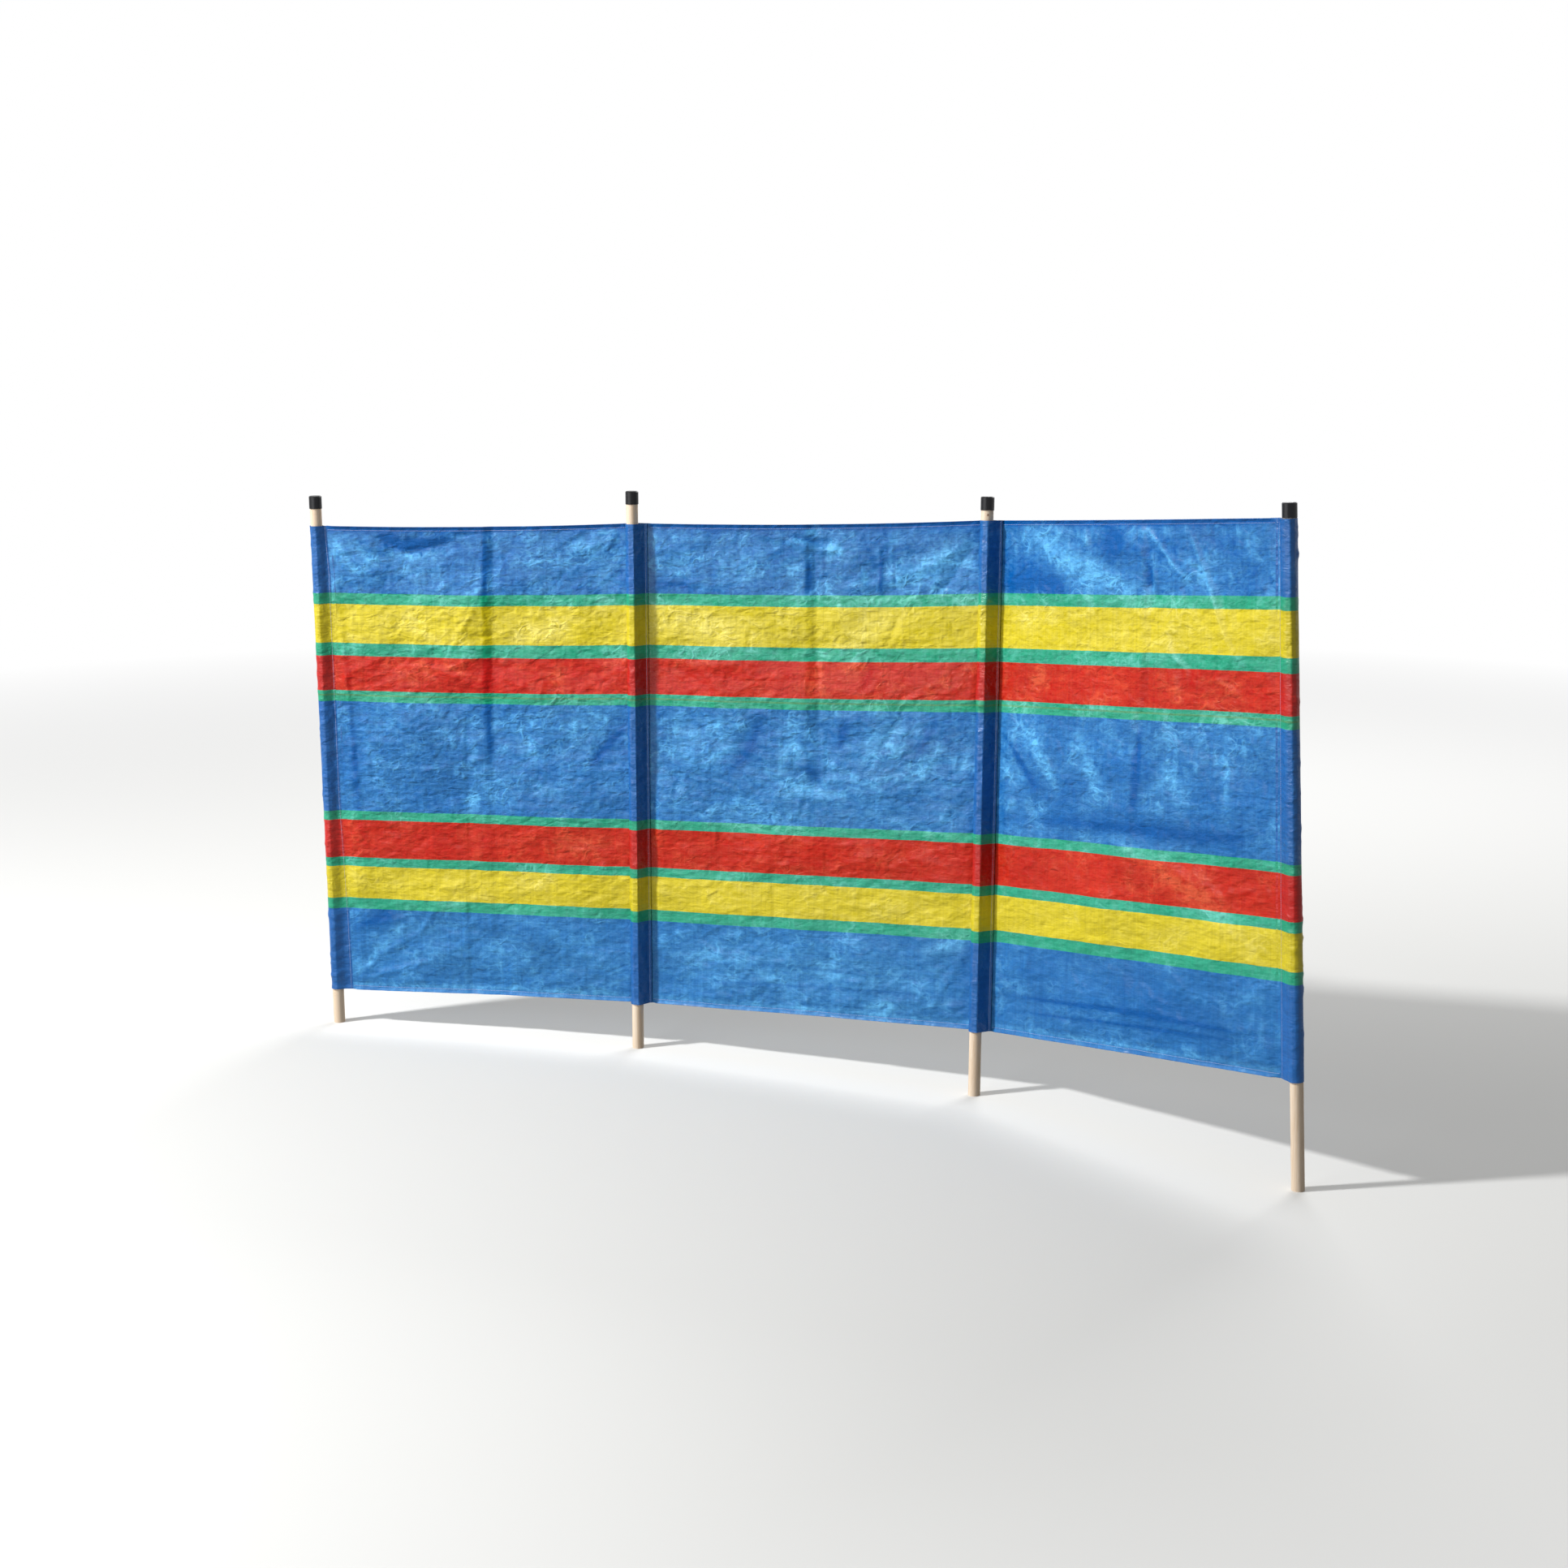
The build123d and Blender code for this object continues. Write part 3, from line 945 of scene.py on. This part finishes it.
def linear(colour):
    channels = [v / 255 for v in colour]
    return [v / 12.92 if v <= 0.04045 else ((v + 0.055) / 1.055) ** 2.4 for v in channels] + [1]


def rampNode(tree, factor, stops, interpolation="LINEAR"):
    node = addNode(tree, "ShaderNodeValToRGB", {0: factor})
    node.color_ramp.interpolation = interpolation
    elements = node.color_ramp.elements
    while len(elements) > 1:
        elements.remove(elements[-1])
    elements[0].position, elements[0].color = stops[0][0], linear(stops[0][1])
    for place, colour in stops[1:]:
        elements.new(place).color = linear(colour)
    return node.outputs[0]


def mixColours(tree, factor, a, b, blend="MIX"):
    inputs = {"Factor": factor, "A": a, "B": b}
    mix = addNode(tree, "ShaderNodeMix", inputs, data_type="RGBA", blend_type=blend)
    return mix.outputs["Result"]


def bumpNode(tree, height, strength, distance):
    inputs = {"Height": height, "Strength": strength, "Distance": distance}
    return addNode(tree, "ShaderNodeBump", inputs).outputs["Normal"]


def objectPlace(tree):
    return addNode(tree, "ShaderNodeTexCoord").outputs["Object"]


def heightDown(tree, vector):
    return addNode(tree, "ShaderNodeSeparateXYZ", {0: vector}).outputs["Y"]


def newMaterial(name):
    material = bpy.data.materials.new(name)
    material.use_nodes = True
    tree = material.node_tree
    shader = next(node for node in tree.nodes if node.type == "BSDF_PRINCIPLED")
    return material, tree, shader


# In the cloth's materials a noise has its waves a metre across and down, then its detail,
# roughness and distortion.
stripeSettings = {
    # each with its pale colour, where the film has creased and whitened and where painted sheen
    # lies
    "colours": {
        "blue": ((0, 90, 166), (102, 188, 246)),
        "green": ((8, 154, 114), (116, 212, 196)),
        "yellow": ((212, 193, 12), (244, 228, 106)),
        "red": ((190, 8, 0), (228, 90, 56)),
        "paleLine": ((66, 146, 94), (124, 190, 160)),
    },
    # from the top down, in mm
    "stripes": [
        ("blue", 127.0), ("green", 22.0), ("yellow", 76.6), ("green", 23.1), ("red", 70.1),
        ("green", 7.2), ("paleLine", 2.6), ("green", 11.8), ("blue", 217.6), ("green", 17.8),
        ("paleLine", 2.2), ("red", 72.5), ("green", 18.8), ("yellow", 65.4), ("green", 21.0),
        ("blue", 164.3),
    ],
    "feather": 0.9 * mm,
    "wander": 3 * mm,
    "noises": {
        "feather": ((700, 90, 1), 1),
        "wander": ((9, 2, 1), 2),
        "dye": ((7, 16, 1), 3),
        "tapesUp": ((230, 4, 1), 2, 0.7),
        "tapesAcross": ((4, 170, 1), 3, 0.7),
    },
    # ramps that darken the colours, over the dye's noise and over that of the tapes
    "dye": [(0.3, (236, 236, 236)), (0.7, (255, 255, 255))],
    "tapes": [(0.36, (234.6, 234.6, 234.6)), (0.6, (255, 255, 255))],
}


# the woven stripes as clean and pale colour, from cloth coordinates in metres; the pale colour is
# film whitened by creasing together with painted sheen
def makeStripeGroup():
    s = stripeSettings
    inputs = {"Cloth Coordinates": None, "Feather": s["feather"]}
    tree, start, end = newGroup("wovenStripes", inputs, {"Color": "Color", "Pale Color": "Color"})
    vector = start.outputs["Cloth Coordinates"]
    noises = {name: noiseNode(tree, vector, *noise) for name, noise in s["noises"].items()}
    below = heightDown(tree, vector)
    for name, amount in (("feather", start.outputs["Feather"]), ("wander", s["wander"])):
        even = mathNode(tree, "SUBTRACT", noises[name], 0.5)
        below = mathNode(tree, "MULTIPLY_ADD", even, amount, below)
    total = sum(width for _, width in s["stripes"]) * mm
    below = mathNode(tree, "DIVIDE", below, total, clamp=True)
    # slow differences in the dye, and single tapes up and across
    tapes = weightedSum(tree, noises, {"tapesUp": 0.5, "tapesAcross": 0.5})
    shades = [rampNode(tree, noises["dye"], s["dye"]), rampNode(tree, tapes, s["tapes"])]
    for k, label in enumerate(("Color", "Pale Color")):
        place, stops = 0.0, []
        for name, width in s["stripes"]:
            stops.append((place, s["colours"][name][k]))
            place += width * mm / total
        colour = rampNode(tree, below, stops, "CONSTANT")
        for shade in shades:
            colour = mixColours(tree, 1.0, colour, shade, "MULTIPLY")
        feed(tree, end, {label: colour})
    return tree


weaveSettings = {
    "tapeWidth": 1.3 * mm,
    "over": 0.12,  # height of a tape where it lies on top
    "ribs": ((14, 330, 1), 2, 0.6),
}


# flat tapes woven over and under, as height
def makeWeaveGroup():
    w = weaveSettings
    inputs = {"Cloth Coordinates": None, "Tape Width": w["tapeWidth"], "Ribs": 0.5}
    tree, start, end = newGroup("tapeWeave", inputs, {"Height": "Float"})
    vector = start.outputs["Cloth Coordinates"]
    parts = addNode(tree, "ShaderNodeSeparateXYZ", {0: vector}).outputs
    turns = mathNode(tree, "DIVIDE", math.pi, start.outputs["Tape Width"])
    waves = [mathNode(tree, "SINE", product(tree, parts[axis], turns)) for axis in "XY"]
    cell = product(tree, *waves, w["over"])
    ribs = evenNoise(tree, vector, *w["ribs"])
    height = mathNode(tree, "MULTIPLY_ADD", ribs, start.outputs["Ribs"], cell)
    feed(tree, end, {"Height": height})
    return tree


filmSettings = {
    "noises": {
        "broad": ((8, 12, 1), 2, 0.5, 0.6),
        "upright": ((56, 9, 1), 2, 0.6, 0.3),
        "mottle": ((84, 124, 1), 2, 0.5, 0.7),
        "dents": ((42, 66, 1), 2, 0.42, 0.5),
        "pits": ((120, 200, 1), 2, 0.5, 0.5),
        "ripples": ((44, 170, 1), 1, 0.5, 0.4),
        "gaps": ((21, 26, 1), 1, 0.5, 0.5),
        "bigFolds": ((25, 30, 1), 2, 0.5, 0.4),
        "smallFolds": ((50, 64, 1), 2, 0.5, 0.3),
    },
    # fold lines run along the middle of their noise: half their width, and their strength
    "folds": {"bigFolds": (0.07, 1.0), "smallFolds": (0.09, 0.6)},
    "gapRange": (-0.08, 0.06),
    "patches": {"wearAndPaintedLight": 0.6, "broad": 4, "upright": 1.5},
    "patchBase": 0.4,
    "height": {"dents": 1.6, "lines": 0.3, "pits": 0.34, "ripples": 0.35},
    "heightFall": (0.5, 0.8, 1.0, 0.6),  # from and to, in m below the top, and its share there
    "strokeTexture": {"mottle": 1.6, "lines": 0.8},
    "strokeBase": 0.7,
    "strokeWhite": 0.72,
    # random pale patches that paint sheen over the film, stronger towards the top
    "uneven": {"lines": 1, "broad": 0.5, "upright": 0.3, "mottle": 0.85, "ripples": 0.15},
    "unevenFall": (0.1, 0.8, 0.72, 0.36),
    "whiteBase": 0.2,
}


# small crinkles of the laminated film as height, the patches they lie in, and how pale the film
# is:
# film whitened by creasing together with painted sheen, and the painted light and shade of the
# strokes
def makeFilmGroup():
    f = filmSettings
    inputs = {"Cloth Coordinates": None, "Amount": 1.0, "Wear And Painted Light": 0.0}
    outputs = {"Height": "Float", "Patches": "Float", "Whitening And Painted Light": "Float"}
    tree, start, end = newGroup("filmCrinkle", inputs, outputs)
    vector, wearAndPaintedLight = start.outputs["Cloth Coordinates"], start.outputs["Wear And Painted Light"]
    below = heightDown(tree, vector)
    values = {name: evenNoise(tree, vector, *noise) for name, noise in f["noises"].items()}
    values["wearAndPaintedLight"] = wearAndPaintedLight
    patches = weightedSum(tree, values, f["patches"])
    patches = mathNode(tree, "ADD", patches, f["patchBase"], clamp=True)
    folds = []
    for name, (width, strength) in f["folds"].items():
        away = mathNode(tree, "ABSOLUTE", values[name])
        folds.append(rangeNode(tree, away, 0, width, strength, 0))
    some = rangeNode(tree, values["gaps"], *f["gapRange"])
    values["lines"] = product(tree, mathNode(tree, "MAXIMUM", *folds), some, patches)
    height = weightedSum(tree, values, f["height"])
    fall = rangeNode(tree, below, *f["heightFall"])
    height = product(tree, height, fall, start.outputs["Amount"])
    texture = weightedSum(tree, values, f["strokeTexture"], f["strokeBase"])
    wornAndPaintedLight = product(tree, wearAndPaintedLight, f["strokeWhite"], texture)
    uneven = weightedSum(tree, values, f["uneven"])
    contrast = rangeNode(tree, below, *f["unevenFall"])
    whiteningAndPaintedLight = mathNode(tree, "MULTIPLY_ADD", uneven, contrast, wornAndPaintedLight)
    whiteningAndPaintedLight = mathNode(tree, "ADD", whiteningAndPaintedLight, f["whiteBase"], clamp=True)
    feed(tree, end, {"Height": height, "Patches": patches, "Whitening And Painted Light": whiteningAndPaintedLight})
    return tree


clothFinish = {
    "roughness": (0.48, 0.34),  # of smooth film and of crinkled patches
    "coatRoughness": 0.24,
    "bump": (1.0, 3.0 * mm),  # strength and distance
    "weaveHeight": 0.2,
    # the bays take the whitening and its painted sheen in full, while the sleeves keep little of
    # it, so they show deeper, more saturated colour where the cloth lies over the pole
    "bays": {"crinkle": 1.0, "ribs": 0.5, "whiteningAndPaintedLight": 1.0, "gloss": 0.1, "coat": 0.2},
    "sleeves": {"crinkle": 0.9, "ribs": 0.4, "whiteningAndPaintedLight": 0.2, "gloss": 0.4, "coat": 0.05},
}


def makeClothMaterial(name, finish):
    f = clothFinish
    material, tree, shader = newMaterial(name)
    coords = addNode(tree, "ShaderNodeUVMap", uv_map="clothMetres").outputs["UV"]
    wearAndPaintedLight = addNode(tree, "ShaderNodeAttribute", attribute_name="wearAndPaintedLight", attribute_type="GEOMETRY")
    onCloth = {"Cloth Coordinates": coords}
    wornAndPaintedLight = {"Amount": finish["crinkle"], "Wear And Painted Light": wearAndPaintedLight.outputs["Fac"]}
    stripes = placeGroup(tree, stripeGroup, onCloth)
    weave = placeGroup(tree, weaveGroup, onCloth | {"Ribs": finish["ribs"]})
    film = placeGroup(tree, filmGroup, onCloth | wornAndPaintedLight)
    height = mathNode(tree, "MULTIPLY_ADD", weave["Height"], f["weaveHeight"], film["Height"])
    # mixes the base colour towards the pale colour: film whitened by creasing, painted sheen, and
    # the painted light and shade of the strokes
    factor = product(tree, film["Whitening And Painted Light"], finish["whiteningAndPaintedLight"])
    feed(tree, shader, {
        "Base Color": mixColours(tree, factor, stripes["Color"], stripes["Pale Color"]),
        "Roughness": rangeNode(tree, film["Patches"], 0, 1, *f["roughness"]),
        "Normal": bumpNode(tree, height, *f["bump"]),
        "Specular IOR Level": finish["gloss"],
        "Coat Weight": finish["coat"],
        "Coat Roughness": f["coatRoughness"],
    })
    return material


woodSettings = {
    "tones": [(0.4, (236, 219, 198)), (0.75, (212, 184, 152))],
    "roughness": 0.62,
    "bump": (0.5, 0.2 * mm),
    "noises": {"bands": ((150, 150, 3.2), 4, 0.6, 0.4), "pores": ((1100, 1100, 26), 2)},
    "grain": {"pores": 0.35, "bands": 0.8},
    "height": {"pores": 0.6, "bands": 0.4},
    "seedStep": 3.7,
    "knot": {
        "pole": 3,
        "belowTop": 30 * mm,
        "fromCentre": 11 * mm,
        "turned": (1, -2),  # its way along the cloth and to the back
        "radius": 2.6 * mm,
        "colour": (120, 78, 48),
        "strength": 0.85,
    },
}


# streaks and pores along a dowel, from object coordinates
def makeGrainGroup():
    w = woodSettings
    outputs = {"Grain": "Float", "Height": "Float"}
    tree, start, end = newGroup("dowelGrain", {"Vector": None, "Seed": 0.0}, outputs)
    inputs = {0: start.outputs["Vector"], 1: start.outputs["Seed"]}
    vector = addNode(tree, "ShaderNodeVectorMath", inputs, operation="ADD").outputs[0]
    values = {name: noiseNode(tree, vector, *noise) for name, noise in w["noises"].items()}
    grain, height = (weightedSum(tree, values, w[key]) for key in ("grain", "height"))
    feed(tree, end, {"Grain": grain, "Height": height})
    return tree


def makeWood(n):
    w, knot = woodSettings, woodSettings["knot"]
    material, tree, shader = newMaterial(f"paleDowel{n}")
    coords = objectPlace(tree)
    grain = placeGroup(tree, grainGroup, {"Vector": coords, "Seed": w["seedStep"] * n})
    colour = rampNode(tree, grain["Grain"], w["tones"])
    if n == knot["pole"]:
        pole, (along, back) = poles[n - 1], knot["turned"]
        side = unit(along * pole["along"] + back * pole["back"])
        centre = pole["foot"] + pole["up"] * (pole["height"] - knot["belowTop"])
        distance = distanceNode(tree, coords, centre + side * knot["fromCentre"])
        radius, strength = knot["radius"], knot["strength"]
        mask = rangeNode(tree, distance, radius * 0.5, radius, strength, 0)
        colour = mixColours(tree, mask, colour, linear(knot["colour"]))
    normal = bumpNode(tree, grain["Height"], *w["bump"])
    feed(tree, shader, {"Base Color": colour, "Roughness": w["roughness"], "Normal": normal})
    return material


capSettings = {
    "tones": [(0.62, (8, 9, 13)), (0.8, (58, 60, 66))],  # clean and scuffed
    "scuffs": ((260, 260, 420), 4, 0.7, 0.5),
    "pebbles": ((900, 900, 900), 3, 0.6),
    "pebbleRange": (0.3, 0.7),
    "roughness": (0.26, 0.42),
    "gloss": 0.25,
    "bump": (0.3, 0.1 * mm),
}


def makeCapMaterial():
    c = capSettings
    material, tree, shader = newMaterial("mouldedCap")
    coords = objectPlace(tree)
    pebbles, scuffs = (noiseNode(tree, coords, *c[key]) for key in ("pebbles", "scuffs"))
    feed(tree, shader, {
        "Base Color": rampNode(tree, scuffs, c["tones"]),
        "Roughness": rangeNode(tree, pebbles, *c["pebbleRange"], *c["roughness"]),
        "Normal": bumpNode(tree, pebbles, *c["bump"]),
        "Specular IOR Level": c["gloss"],
    })
    return material


threadSettings = {
    "tones": [(0.3, (150, 166, 222)), (0.7, (214, 220, 240))],
    "twist": ((1400, 1400, 1400), 2, 0.6),
    "roughness": 0.55,
}


def makeThreadMaterial():
    t = threadSettings
    material, tree, shader = newMaterial("seamThread")
    twist = noiseNode(tree, objectPlace(tree), *t["twist"])
    colour = rampNode(tree, twist, t["tones"])
    feed(tree, shader, {"Base Color": colour, "Roughness": t["roughness"]})
    return material


stripeGroup, weaveGroup = makeStripeGroup(), makeWeaveGroup()
filmGroup, grainGroup = makeFilmGroup(), makeGrainGroup()
bayCloth = makeClothMaterial("stripedBayCloth", clothFinish["bays"])
sleeveCloth = makeClothMaterial("stripedSleeveCloth", clothFinish["sleeves"])
thread = makeThreadMaterial()
capPlastic = makeCapMaterial()


def paint(piece, material):
    piece.data.materials.clear()
    piece.data.materials.append(material)


for bay in baySettings:
    paint(bay["piece"], bayCloth)
    paint(bay["stitches"], thread)
for n, sleeve in enumerate(sleeves, 1):
    paint(sleeve["piece"], sleeveCloth)
    paint(sleeve["stitches"], thread)
    paint(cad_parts[f"pole_{n}"], makeWood(n))
    paint(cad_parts[f"pole_cap_{n}"], capPlastic)
print("materials painted")


# a plain pale studio
studioSettings = {
    "lamps": {  # shape, way to it, distance in m, width and height in m, power in W
        "keyLight": ("ELLIPSE", (-0.552, -0.536, 0.643), 6.2, (0.5, 0.5), 450.0),
        "softbox": ("RECTANGLE", (-0.42, -0.88, 0.15), 3.4, (3.0, 1.6), 50.0),
        "backFill": ("RECTANGLE", (0.0, 0.83, 0.56), 4.5, (3.0, 2.0), 130.0),
    },
    "aim": (0.9, 0.1, 0.55),
    "sky": 0.2,
    "floorRadius": 30.0,
    "floorSides": 96,
    "floorSeen": (214, 214, 212),
    "floorForLight": (104, 104, 102),
    "floorFade": (1.6, 5.5),  # from its own colour to white, in m from the middle
    "floorRoughness": 0.9,
}


def makeLamps():
    s = studioSettings
    for name, (shape, way, distance, size, power) in s["lamps"].items():
        data = bpy.data.lights.new(name, "AREA")
        data.shape = shape
        data.size, data.size_y = size
        data.energy = power
        lamp = addObject(name, data)
        way = unit(np.array(way))
        side = unit(np.cross((0, 0, 1), way))
        axes = np.column_stack([side, np.cross(way, side), way])
        lamp.location = np.array(s["aim"]) + way * distance
        lamp.rotation_euler = Matrix(axes.tolist()).to_euler()


# 1 for what the camera sees, also in gloss and through glass, and 0 for the light on the object
def seenDirectly(tree):
    path = addNode(tree, "ShaderNodeLightPath").outputs
    seen = mathNode(tree, "MAXIMUM", path["Is Camera Ray"], path["Is Glossy Ray"])
    return mathNode(tree, "MAXIMUM", seen, path["Is Transmission Ray"])


def makeWorld():
    world = bpy.data.worlds.new("studio")
    bpy.context.scene.world = world
    world.use_nodes = True
    tree = world.node_tree
    background = next(node for node in tree.nodes if node.type == "BACKGROUND")
    strength = rangeNode(tree, seenDirectly(tree), 0, 1, studioSettings["sky"], 1.0)
    feed(tree, background, {"Color": (1, 1, 1, 1), "Strength": strength})


# far off the floor fades into the white around it
def makeFloor():
    s = studioSettings
    bpy.ops.mesh.primitive_circle_add(
        vertices=s["floorSides"], radius=s["floorRadius"], fill_type="NGON"
    )
    floor = bpy.context.object
    floor.name = "studioFloor"
    material, tree, shader = newMaterial("paleFloor")
    seen = seenDirectly(tree)
    colour = mixColours(tree, seen, linear(s["floorForLight"]), linear(s["floorSeen"]))
    feed(tree, shader, {"Base Color": colour, "Roughness": s["floorRoughness"]})
    far = distanceNode(tree, objectPlace(tree), (s["aim"][0], s["aim"][1], 0))
    fade = product(tree, rangeNode(tree, far, *s["floorFade"]), seen)
    glow = addNode(tree, "ShaderNodeEmission").outputs[0]
    mix = addNode(tree, "ShaderNodeMixShader", {0: fade, 1: shader.outputs[0], 2: glow})
    surface = next(node for node in tree.nodes if node.type == "OUTPUT_MATERIAL")
    feed(tree, surface, {"Surface": mix.outputs[0]})
    paint(floor, material)


makeLamps()
makeWorld()
makeFloor()
bpy.context.scene.view_settings.view_transform = "Standard"
print("studio lit")
